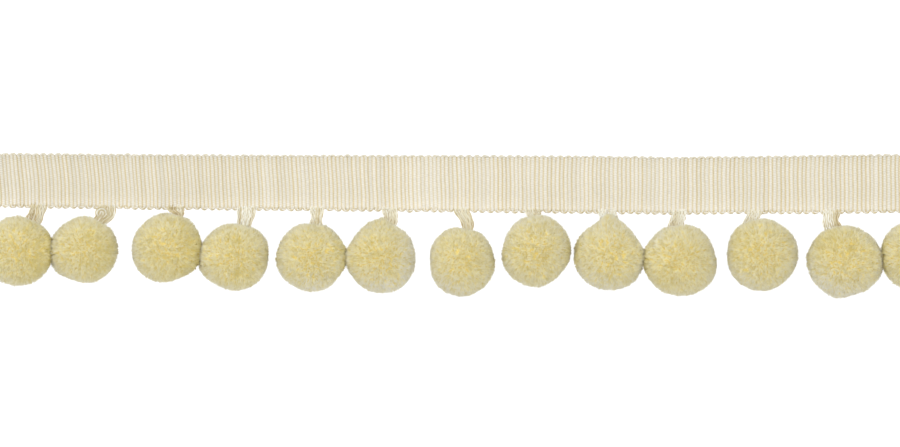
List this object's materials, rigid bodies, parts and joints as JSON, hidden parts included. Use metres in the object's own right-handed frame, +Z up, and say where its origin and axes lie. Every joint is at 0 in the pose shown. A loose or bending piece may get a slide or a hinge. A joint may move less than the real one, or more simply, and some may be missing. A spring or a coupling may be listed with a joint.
{
  "type": "pompom fringe trim",
  "caption": "Flat ribbed braid with small scallops along both edges, and a row of round cut-wool pompoms that hang from its lower edge on short straps of floss.",
  "frame": {"origin": "centre of the braid's flat underside, midway along the cut length", "axes": "+X along the braid, +Y from the pompoms towards the braid, +Z up from the surface that the trim lies on"},
  "size_m": [0.3434, 0.0515, 0.0263],
  "materials": {
    "braid": "ribbed cotton braid, ivory, slightly silky",
    "floss": "silky ivory floss",
    "wool": "matt straw-coloured cut wool"
  },
  "bodies": {
    "root": {"header": "braid", "hanger_01": "floss", "hanger_02": "floss", "hanger_03": "floss", "hanger_04": "floss", "hanger_05": "floss", "hanger_06": "floss", "hanger_07": "floss", "hanger_08": "floss", "hanger_09": "floss", "hanger_10": "floss", "hanger_11": "floss", "hanger_12": "floss", "hanger_13": "floss", "pompom_01": "wool", "pompom_02": "wool", "pompom_03": "wool", "pompom_04": "wool", "pompom_05": "wool", "pompom_06": "wool", "pompom_07": "wool", "pompom_08": "wool", "pompom_09": "wool", "pompom_10": "wool", "pompom_11": "wool", "pompom_12": "wool", "pompom_13": "wool"}
  },
  "joints": []
}
